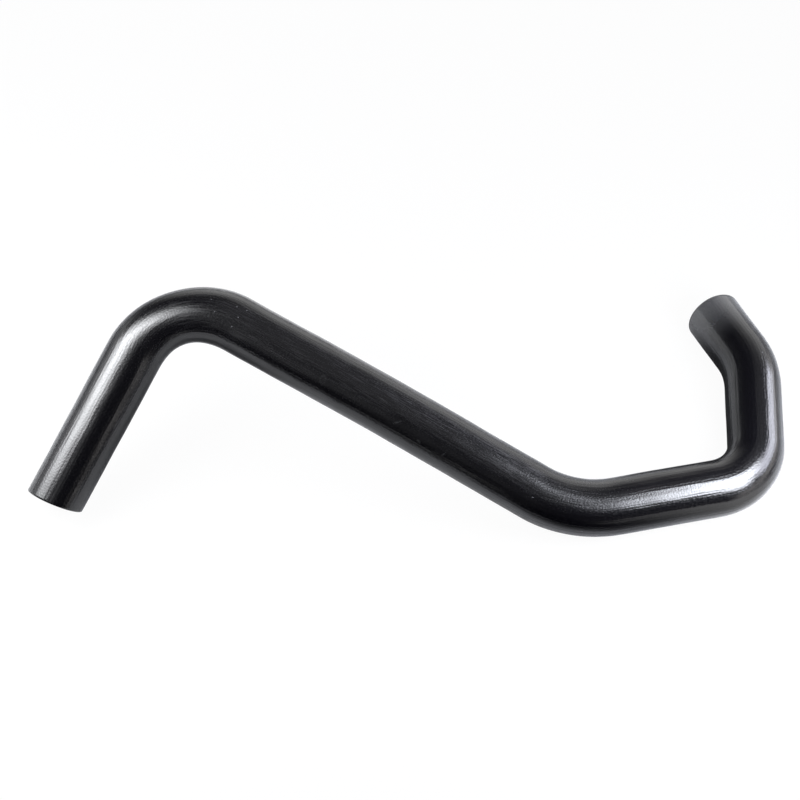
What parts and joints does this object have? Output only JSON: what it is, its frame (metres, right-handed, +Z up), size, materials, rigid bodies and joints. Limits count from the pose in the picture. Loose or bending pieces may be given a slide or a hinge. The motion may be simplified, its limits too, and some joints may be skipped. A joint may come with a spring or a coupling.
{
  "type": "lower coolant hose",
  "caption": "Moulded rubber coolant hose with a round bore, a long sloping leg, several bends and plain square-cut ends.",
  "frame": {"origin": "on the surface the hose lies on, below the middle of its bounding box", "axes": "+X along its longest extent, from the inlet end to the bent outlet end; +Z up, its shortest extent as it lies"},
  "size_m": [0.6036, 0.2276, 0.1439],
  "materials": {
    "rubber": "satin black vulcanised rubber with faint lengthwise moulding streaks"
  },
  "bodies": {
    "root": {"hose": "rubber"}
  },
  "joints": []
}
